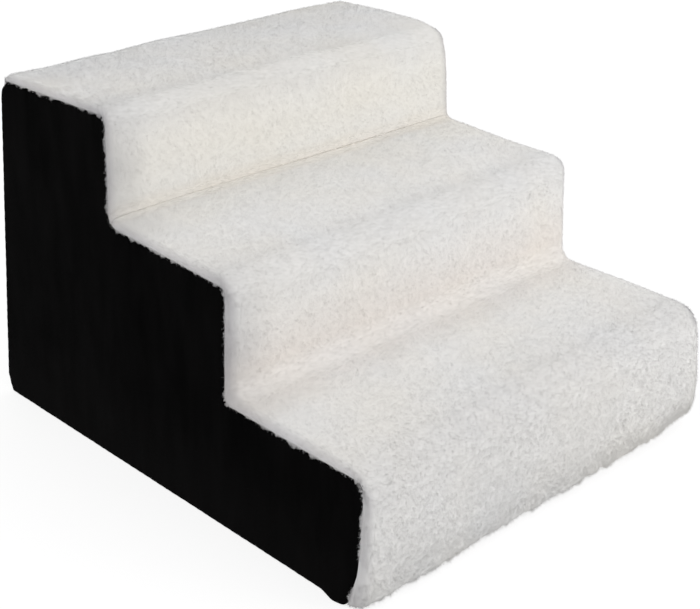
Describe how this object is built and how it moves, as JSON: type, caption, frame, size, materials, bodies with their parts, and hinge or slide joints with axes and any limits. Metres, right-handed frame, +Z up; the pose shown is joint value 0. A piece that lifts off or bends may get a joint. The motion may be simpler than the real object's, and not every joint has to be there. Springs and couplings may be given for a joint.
{
  "type": "pet stairs",
  "caption": "Low set of foam pet stairs in a zip-off cover: black suede cloth sides and back, off-white plush over rounded treads and risers.",
  "frame": {"origin": "on the floor, in the middle of the whole object's box", "axes": "+X across the treads to the right as seen from the front, +Y from the lowest step towards the back, +Z up"},
  "size_m": [0.4, 0.4532, 0.3015],
  "materials": {
    "foam": "cut face of firm polyurethane foam, matt",
    "suede": "black brushed suede cloth with a short nap",
    "base_cloth": "black plain-woven base cloth with small grip dots",
    "plush": "off-white curly plush pile",
    "zip_tape": "black woven tape",
    "zip_teeth": "black moulded plastic, satin",
    "zip_metal": "black enamelled metal"
  },
  "bodies": {
    "stairs": {"foam_slab_bottom": "foam", "foam_slab_middle": "foam", "foam_slab_top": "foam", "side_panel_left": "suede", "side_panel_right": "suede", "back_panel_upper": "suede", "back_panel_lower": "suede", "base_panel": "base_cloth", "plush_upper": "plush", "plush_lower": "plush", "zip_tape_upper": "zip_tape", "zip_tape_lower": "zip_tape", "zip_teeth_upper": "zip_teeth", "zip_teeth_lower": "zip_teeth", "zip_bottom_stop": "zip_teeth", "zip_top_stops": "zip_teeth"},
    "slider": {"zip_slider": "zip_metal"},
    "pull": {"zip_pull": "zip_metal"}
  },
  "joints": [
    {"name": "zip_travel", "type": "slide", "parent": "stairs", "child": "slider", "axis": [-1, 0, 0], "range_m": [0, 0.325], "deforming": ["zip_teeth_upper", "zip_teeth_lower"]},
    {"name": "pull_swing", "type": "hinge", "parent": "slider", "child": "pull", "pos_m": [0.1625, 0.2248, 0.046], "axis": [0, 0, -1], "range_deg": [0, 180]}
  ]
}
